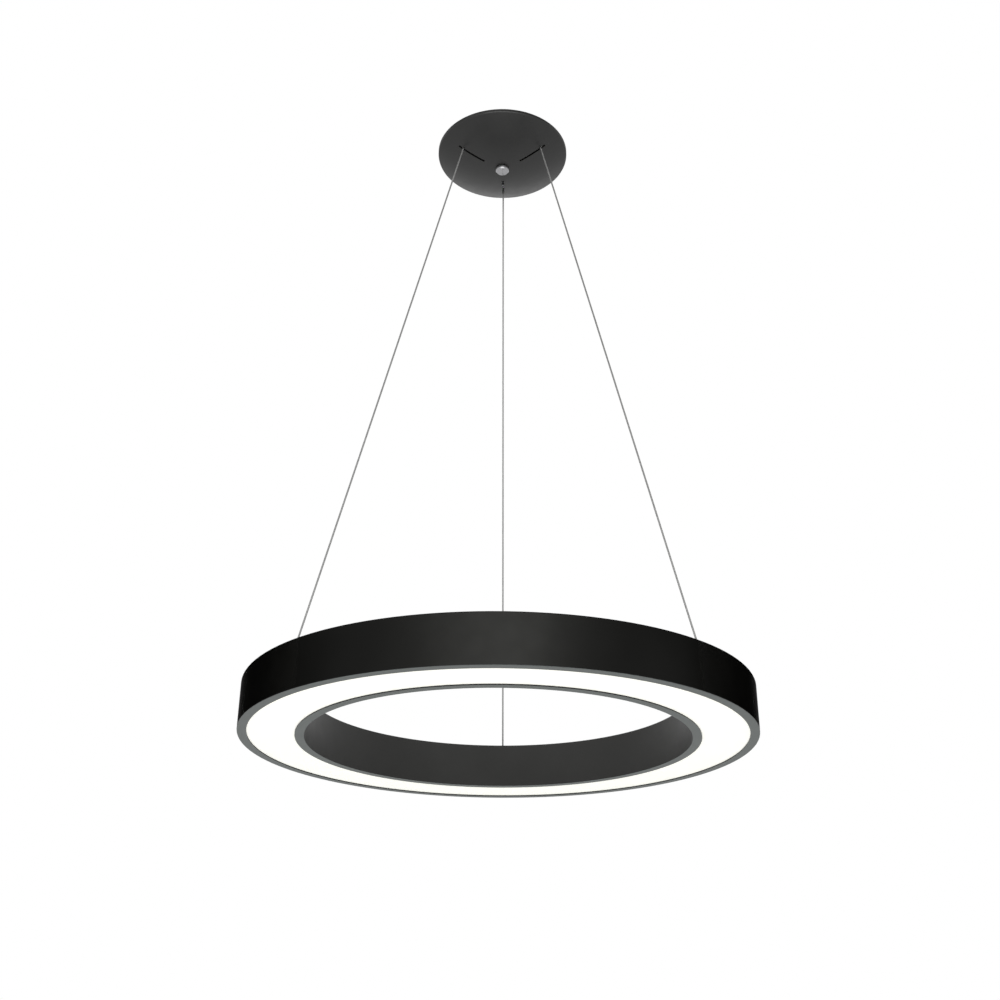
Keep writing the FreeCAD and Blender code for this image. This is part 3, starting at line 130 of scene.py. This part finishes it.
class Nodes:
    """Short calls that make and join the nodes of one node tree."""

    def __init__(self, tree):
        self.tree = tree

    def node(self, kind, **settings):
        """A new node with its settings."""
        made = self.tree.nodes.new(kind)
        for name, value in settings.items():
            setattr(made, name, value)
        return made

    def give(self, socket, value):
        """Gives a socket another node's output or a plain value."""
        if isinstance(value, bpy.types.NodeSocket):
            self.tree.links.new(value, socket)
        else:
            socket.default_value = value

    def compute(self, operation, *values):
        """Arithmetic on one or two values."""
        made = self.node("ShaderNodeMath", operation=operation)
        for socket, value in zip(made.inputs, values):
            self.give(socket, value)
        return made.outputs[0]

    def split(self, vector):
        """The x, y and z of a vector."""
        made = self.node("ShaderNodeSeparateXYZ")
        self.give(made.inputs[0], vector)
        return made.outputs

    def rescale(self, factor, low, high, start=NOISE_LOW, end=NOISE_HIGH):
        """Runs from low to high while a factor runs from start to end."""
        made = self.node("ShaderNodeMapRange")
        for name, value in (("From Min", start), ("From Max", end), ("To Min", low), ("To Max", high)):
            made.inputs[name].default_value = value
        self.give(made.inputs["Value"], factor)
        return made.outputs["Result"]

    def mix(self, kind, factor, first, second):
        """Mixes two colours or two numbers."""
        made = self.node("ShaderNodeMix", data_type=kind)
        first_place, second_place, result = MIX_SOCKETS[kind]
        self.give(made.inputs[0], factor)
        self.give(made.inputs[first_place], first)
        self.give(made.inputs[second_place], second)
        return made.outputs[result]


class Shader(Nodes):
    """A node material with one principled shader."""

    def __init__(self, name, roughness, metallic=0.0, specular=0.5):
        self.material = bpy.data.materials.new(name)
        self.material.use_nodes = True
        super().__init__(self.material.node_tree)
        self.sockets = self.tree.nodes["Principled BSDF"].inputs
        self.feed("Roughness", roughness)
        self.feed("Metallic", metallic)
        self.feed("Specular IOR Level", specular)
        self.place = self.node("ShaderNodeTexCoord").outputs["Object"]

    def feed(self, name, value):
        """Gives one of the shader's own sockets an output or a plain value."""
        self.give(self.sockets[name], value)

    def noise(self, scale, detail=NOISE_DETAIL, place=None):
        """Noise whose features are about one over the scale across."""
        made = self.node("ShaderNodeTexNoise")
        made.inputs["Scale"].default_value = scale
        made.inputs["Detail"].default_value = detail
        self.give(made.inputs["Vector"], place or self.place)
        return made.outputs["Fac"]

    def spread(self, factor, low, high):
        """A ramp of two screen colours over the middle of a factor's range."""
        ramp = self.node("ShaderNodeValToRGB")
        ends = ramp.color_ramp.elements
        for end, position, colour in zip(ends, (NOISE_LOW, NOISE_HIGH), (low, high)):
            end.position = position
            end.color = linear(*colour)
        self.give(ramp.inputs["Fac"], factor)
        return ramp.outputs["Color"]

    def radius(self):
        """How far a point is from the Z axis."""
        flat = self.node("ShaderNodeVectorMath", operation="MULTIPLY")
        flat.inputs[1].default_value = (1.0, 1.0, 0.0)
        self.give(flat.inputs[0], self.place)
        length = self.node("ShaderNodeVectorMath", operation="LENGTH")
        self.give(length.inputs[0], flat.outputs[0])
        return length.outputs["Value"]

    def level(self, start, end):
        """0 on upright faces and 1 on level ones, by how far the surface faces up or down."""
        upward = self.split(self.node("ShaderNodeTexCoord").outputs["Normal"])[2]
        return self.rescale(self.compute("ABSOLUTE", upward), 0.0, 1.0, start, end)

    def round_place(self, across, along):
        """Coordinates that run round the Z axis: fine across the radius, long along the turn."""
        x, y, z = self.split(self.place)
        squares = self.compute("ADD", self.compute("MULTIPLY", x, x), self.compute("MULTIPLY", y, y))
        radius = self.compute("MULTIPLY", self.compute("SQRT", squares), across)
        turn = self.compute("MULTIPLY", self.compute("ARCTAN2", y, x), along)
        height = self.compute("MULTIPLY", z, across)
        joined = self.node("ShaderNodeCombineXYZ")
        for socket, output in zip(joined.inputs, (radius, turn, height)):
            self.give(socket, output)
        return joined.outputs[0]

    def bump(self, height, distance, strength):
        """A fine relief on the whole surface."""
        made = self.node("ShaderNodeBump")
        made.inputs["Strength"].default_value = strength
        made.inputs["Distance"].default_value = distance
        self.give(made.inputs["Height"], height)
        self.feed("Normal", made.outputs["Normal"])


# Finishes. Each takes its name, pairs of screen colours from dark to light, and its roughness

def coated(name, colours, roughness, specular):
    """A fine powder coat: a slight grain, a slight drift of tone and an uneven sheen."""
    made = Shader(name, roughness, specular=specular)
    made.feed("Base Color", made.spread(made.noise(TONE_SCALE, SOFT_DETAIL), *colours))
    made.feed("Roughness", made.rescale(made.noise(SHEEN_SCALE), roughness - 0.03, roughness + 0.03))
    made.bump(made.noise(COAT_GRAIN, SOFT_DETAIL), 0.00006, 0.35)
    return made.material


def housed(name, outer, inner_painted_light, roughness):
    """The ring's black finish: satin and deep on its outer wall, matt elsewhere, where a lighter tone is
    painted light on the inner wall and top.
    """
    made = Shader(name, roughness)
    made.feed("Specular Tint", EDGE_TINT)
    outside = made.rescale(made.radius(), 0.0, 1.0, OUTER_WALL_START, OUTER_WALL_END)
    tone = made.noise(TONE_SCALE, SOFT_DETAIL)
    # The lighter inner colours are painted light, standing in for light that falls on the inner wall and
    # top.
    colour = made.mix("RGBA", outside, made.spread(tone, *inner_painted_light), made.spread(tone, *outer))
    made.feed("Base Color", colour)
    made.feed("Metallic", outside)
    made.feed("Roughness", made.rescale(made.noise(SHEEN_SCALE), roughness - 0.02, roughness + 0.02))
    made.bump(made.noise(COAT_GRAIN, SOFT_DETAIL), 0.00005, 0.3)
    return made.material


def lacquered(name, colours, painted_edge_shade, roughness):
    """Satin lacquer over turned metal: fine streaks that run round the ring, and painted shade on its
    upright faces, near black as the bezels' recess is in shade.
    """
    made = Shader(name, roughness, specular=0.2)
    streaks = made.noise(1.0, 4.0, made.round_place(2600.0, 5.0))
    # Upright faces take the near-black colour: painted shade in the recess beside the diffuser.
    colour = made.mix("RGBA", made.level(0.3, 0.6), linear(*painted_edge_shade), made.spread(streaks, *colours))
    made.feed("Base Color", colour)
    made.feed("Roughness", made.rescale(streaks, roughness - 0.06, roughness + 0.08))
    made.bump(streaks, 0.00002, 0.25)
    return made.material


def metal(name, colours, roughness, grain=500.0, depth=0.00003, metallic=1.0):
    """Bare or plated metal with fine wear in its tone and its polish."""
    made = Shader(name, roughness, metallic=metallic)
    wear = made.noise(grain)
    made.feed("Base Color", made.spread(wear, *colours))
    made.feed("Roughness", made.rescale(made.noise(grain / 5), roughness - 0.05, roughness + 0.07))
    made.bump(wear, depth, 0.3)
    return made.material


def knurled(name, colours, roughness, side_roughness):
    """Plated metal with a polished, turned end and a duller grip round its side."""
    made = Shader(name, roughness, metallic=1.0)
    turning = made.noise(1.0, NOISE_DETAIL, made.round_place(3000.0, 4.0))
    made.feed("Base Color", made.spread(turning, *colours))
    polish = made.rescale(turning, roughness - 0.03, roughness + 0.05)
    made.feed("Roughness", made.mix("FLOAT", made.level(0.4, 0.7), side_roughness, polish))
    made.bump(turning, 0.000008, 0.25)
    return made.material


def moulded(name, colours, roughness=0.5, grain=900.0, soft=0.0):
    """Moulded plastic or rubber with a fine spark grain."""
    made = Shader(name, roughness, specular=0.4)
    made.feed("Subsurface Weight", soft)
    made.feed("Subsurface Scale", 0.001)
    made.feed("Base Color", made.spread(made.noise(45.0), *colours))
    made.feed("Roughness", made.rescale(made.noise(220.0), roughness - 0.06, roughness + 0.08))
    made.bump(made.noise(grain, SOFT_DETAIL), 0.00004, 0.4)
    return made.material


def glowing(name, colours, body, strength, grain=700.0):
    """A lit surface whose glow drifts slightly between two near whites."""
    made = Shader(name, 0.45, specular=0.3)
    made.feed("Base Color", linear(*body))
    made.feed("Emission Color", made.spread(made.noise(14.0, SOFT_DETAIL), *colours))
    made.feed("Emission Strength", strength)
    made.bump(made.noise(grain, SOFT_DETAIL), 0.00003, 0.25)
    return made.material


# The finish of each of the record's material slots
FINISHES = {
    "black_powder": (coated, [(14, 14, 13), (19, 19, 18)], 0.36, 0.46),
    # black_aluminium: its second, lighter pair of colours is painted light on the inner wall and top
    "black_aluminium": (housed, [(28, 28, 27), (33, 33, 32)], [(52, 52, 51), (57, 57, 56)], 0.44),
    # satin_grey: its near-black colour is painted shade on the bezels' upright faces
    "satin_grey": (lacquered, [(83, 88, 86), (99, 104, 102)], (8, 8, 8), 0.45),
    "opal_acrylic": (glowing, [(237, 237, 228), (240, 240, 232)], (238, 238, 231), 0.47),
    "chrome": (knurled, [(150, 150, 152), (170, 170, 172)], 0.14, 0.38),
    "nickel": (metal, [(196, 193, 186), (212, 209, 203)], 0.24),
    "zinc_steel": (metal, [(178, 181, 184), (202, 204, 206)], 0.36, 240.0),
    "spring_steel": (metal, [(140, 140, 142), (166, 166, 168)], 0.28),
    "cable_strand": (metal, [(124, 124, 123), (148, 148, 147)], 0.42, 800.0, 0.00002, 0.45),
    "white_nylon": (moulded, [(226, 226, 220), (238, 238, 233)], 0.5, 900.0, 0.2),
    "tray_aluminium": (metal, [(188, 190, 192), (212, 214, 215)], 0.4, 180.0),
    "board_white": (moulded, [(236, 236, 230), (245, 245, 240)], 0.35, 1600.0),
    "chip_phosphor": (glowing, [(255, 240, 196), (255, 246, 214)], (240, 214, 120), 1.0, 2600.0),
    "tinned_copper": (metal, [(190, 188, 184), (214, 212, 208)], 0.3, 900.0),
    "driver_shell": (moulded, [(218, 218, 214), (230, 230, 226)]),
    "circuit_green": (moulded, [(34, 92, 52), (46, 108, 64)], 0.32, 1800.0),
    "block_plastic": (moulded, [(226, 224, 212), (236, 234, 224)]),
    "black_rubber": (moulded, [(22, 22, 22), (32, 32, 32)], 0.72, 700.0),
    "lead_brown": (moulded, [(92, 56, 34), (106, 68, 44)], 0.42, 1500.0),
    "lead_green": (moulded, [(66, 106, 30), (80, 120, 42)], 0.42, 1500.0),
    "lead_red": (moulded, [(104, 24, 20), (120, 34, 28)], 0.42, 1500.0),
}
MATERIALS = {slot: make(slot, *values) for slot, (make, *values) in FINISHES.items()}


def paint_nodes():
    """Gives every node of the part the material of its slot."""
    for part in frame["record"]["subparts"]:
        node = nodes[part["node"]]
        material = MATERIALS[part["material_slot"]]
        if not node.material_slots:
            node.data.materials.append(material)
        for place in node.material_slots:
            place.material = material


# Pieces

def new_piece(name, points, faces, slot, body):
    """A smooth mesh piece that rides on a body and takes its finish from a slot."""
    mesh = bpy.data.meshes.new(name)
    mesh.from_pydata(points, [], faces)
    mesh.update()
    mesh.polygons.foreach_set("use_smooth", [True] * len(mesh.polygons))
    mesh.materials.append(MATERIALS[slot])
    piece = bpy.data.objects.new(name, mesh)
    bpy.context.scene.collection.objects.link(piece)
    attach(piece, body)
    return piece


def skin(rings, sides):
    """The faces between rings of points, closed by a flat cap at each end."""
    faces = []
    for row in range(rings - 1):
        for side in range(sides):
            low = row * sides + side
            low_next = row * sides + (side + 1) % sides
            faces.append((low, low_next, low_next + sides, low + sides))
    faces.append(tuple(reversed(range(sides))))
    faces.append(tuple(range((rings - 1) * sides, rings * sides)))
    return faces


def smooth_points(route):
    """The points of a route's smooth spline, read from the mesh of its bare curve."""
    curve = bpy.data.curves.new("route", "CURVE")
    curve.dimensions = "3D"
    curve.resolution_u = ROUTE_STEPS
    spline = curve.splines.new("NURBS")
    spline.points.add(len(route) - 1)
    for control, place in zip(spline.points, route):
        control.co = (*place, 1.0)
    spline.order_u = 3
    spline.use_endpoint_u = True
    holder = bpy.data.objects.new("route", curve)
    mesh = bpy.data.meshes.new_from_object(holder)
    points = [vertex.co.copy() for vertex in mesh.vertices]
    bpy.data.objects.remove(holder)
    bpy.data.meshes.remove(mesh)
    bpy.data.curves.remove(curve)
    return points


def twisted_points(path):
    """Rings of points round a straight path, whose lobes turn along it as the strands do."""
    way = (path[-1] - path[0]).normalized()
    across = way.orthogonal().normalized()
    over = way.cross(across)
    points = []
    for place in path:
        twist = 2 * math.pi * (place - path[0]).length / CABLE_LAY
        for side in range(CABLE_SIDES):
            turn = 2 * math.pi * side / CABLE_SIDES
            lobe = abs(math.cos(CABLE_STRANDS * turn / 2))
            reach = CABLE_DIAMETER / 2 * (1 - STRAND_DEPTH * (1 - lobe))
            outwards = across * math.cos(turn + twist) + over * math.sin(turn + twist)
            points.append(place + outwards * reach)
    return points


def coil_points(low, high):
    """Rings of points along a coil of wire that fills a box from its bottom to its top."""
    wire = SPRING_WIRE / 2
    centre = Vector(((low[0] + high[0]) / 2, (low[1] + high[1]) / 2, 0))
    radius = (high[0] - low[0]) / 2 - wire
    height = high[2] - low[2] - 2 * wire
    points = []
    for row in range(SPRING_RINGS):
        share = row / (SPRING_RINGS - 1)
        turn = 2 * math.pi * SPRING_TURNS * share
        outwards = Vector((math.cos(turn), math.sin(turn), 0))
        middle = centre + outwards * radius + Vector((0, 0, low[2] + wire + height * share))
        for side in range(WIRE_SIDES):
            angle = 2 * math.pi * side / WIRE_SIDES
            reach = outwards * math.cos(angle) + Vector((0, 0, math.sin(angle)))
            points.append(middle + reach * wire)
    return points


def make_cables():
    """The suspension cables, drawn tight between the canopy and the ring."""
    for index in range(CABLE_COUNT):
        turn = Matrix.Rotation(math.radians(360.0 / CABLE_COUNT * index), 3, "Z")
        path = smooth_points([turn @ Vector(place) for place in CABLE_ROUTE])
        node = "suspension_cable_%d" % (index + 1)
        cable = new_piece("cable_%d" % (index + 1), twisted_points(path), skin(len(path), CABLE_SIDES),
                          "cable_strand", "canopy_base")
        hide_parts(node)
        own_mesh(cable)


def make_springs():
    """The coil spring inside each gripper, in place of its plain sleeve."""
    for index in range(1, CABLE_COUNT + 1):
        node = "gripper_spring_%d" % index
        low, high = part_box(node)
        spring = new_piece("coil_spring_%d" % index, coil_points(low, high), skin(SPRING_RINGS, WIRE_SIDES),
                           "spring_steel", "ring")
        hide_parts(node)
        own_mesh(spring)


# Studio

def make_camera():
    """The camera at the photograph's place, looking up at the ring."""
    data = bpy.data.cameras.new("camera")
    data.lens = CAMERA_LENS
    data.sensor_width = SENSOR_WIDTH
    camera = bpy.data.objects.new("camera", data)
    bpy.context.scene.collection.objects.link(camera)
    ahead = Vector((-math.sin(CAMERA_BEARING), math.cos(CAMERA_BEARING), 0))
    right = Vector((math.cos(CAMERA_BEARING), math.sin(CAMERA_BEARING), 0))
    forward = ahead * math.cos(CAMERA_PITCH) + Vector((0, 0, math.sin(CAMERA_PITCH)))
    up = right.cross(forward)
    rolled_right = right * math.cos(CAMERA_ROLL) + up * math.sin(CAMERA_ROLL)
    rolled_up = rolled_right.cross(forward)
    turn = Matrix((rolled_right, rolled_up, -forward)).transposed().to_4x4()
    place = -ahead * CAMERA_DISTANCE + Vector((0, 0, CAMERA_LEVEL))
    camera.matrix_world = Matrix.Translation(place) @ turn
    bpy.context.scene.camera = camera


def make_lamp(name, place, target, width, height, power):
    """A rectangular area light that points at a target."""
    data = bpy.data.lights.new(name, "AREA")
    data.shape = "RECTANGLE"
    data.size = width
    data.size_y = height
    data.energy = power
    lamp = bpy.data.objects.new(name, data)
    bpy.context.scene.collection.objects.link(lamp)
    lamp.location = place
    lamp.rotation_euler = (Vector(target) - Vector(place)).to_track_quat("-Z", "Y").to_euler()


def make_lamps():
    """The soft lamps in front of the ring, below it and above it."""
    for lamp in LAMPS:
        make_lamp(*lamp)


def make_world():
    """A soft grey light, seen as plain white by the camera and in reflections."""
    world = bpy.data.worlds.new("studio")
    world.use_nodes = True
    made = Nodes(world.node_tree)
    light = made.tree.nodes["Background"]
    made.give(light.inputs["Color"], WHITE)
    made.give(light.inputs["Strength"], WORLD_LIGHT)
    white = made.node("ShaderNodeBackground")
    made.give(white.inputs["Color"], WHITE)
    upward = made.split(made.node("ShaderNodeTexCoord").outputs["Generated"])[2]
    shade = made.rescale(upward, SKY_LOW_LIGHT, SKY_HIGH_LIGHT, SKY_FADE_START, SKY_FADE_END)
    path = made.node("ShaderNodeLightPath")
    seen = path.outputs["Is Camera Ray"]
    made.give(white.inputs["Strength"], made.compute("MAXIMUM", seen, shade))
    for other in ("Is Glossy Ray", "Is Transmission Ray"):
        seen = made.compute("MAXIMUM", seen, path.outputs[other])
    mixed = made.node("ShaderNodeMixShader")
    for socket, output in zip(mixed.inputs, (seen, light.outputs[0], white.outputs[0])):
        made.give(socket, output)
    made.give(made.tree.nodes["World Output"].inputs["Surface"], mixed.outputs[0])
    bpy.context.scene.world = world


def make_floor():
    """A plain pale floor, a room's height below the ceiling, that fades into the white far away."""
    corners = [(-FLOOR_HALF, -FLOOR_HALF), (FLOOR_HALF, -FLOOR_HALF),
               (FLOOR_HALF, FLOOR_HALF), (-FLOOR_HALF, FLOOR_HALF)]
    mesh = bpy.data.meshes.new("floor")
    mesh.from_pydata([(x, y, FLOOR_LEVEL) for x, y in corners], [], [(0, 1, 2, 3)])
    floor = bpy.data.objects.new("floor", mesh)
    bpy.context.scene.collection.objects.link(floor)
    made = Shader("pale_floor", 0.8, specular=0.1)
    made.feed("Base Color", made.spread(made.noise(FLOOR_TONE_SCALE), (246, 246, 246), (250, 250, 250)))
    glow = made.rescale(made.radius(), FLOOR_NEAR_LIGHT, FLOOR_FAR_LIGHT, FLOOR_FADE_START, FLOOR_FADE_END)
    path = made.node("ShaderNodeLightPath")
    seen = made.compute("MULTIPLY", path.outputs["Is Camera Ray"], glow)
    mirrored = made.compute("MULTIPLY", path.outputs["Is Glossy Ray"], FLOOR_MIRRORED_LIGHT)
    made.feed("Emission Color", WHITE)
    made.feed("Emission Strength", made.compute("ADD", seen, mirrored))
    mesh.materials.append(made.material)


make_camera()
make_cables()
make_springs()
paint_nodes()
make_lamps()
make_world()
make_floor()

bpy.context.scene.view_settings.view_transform = "Standard"
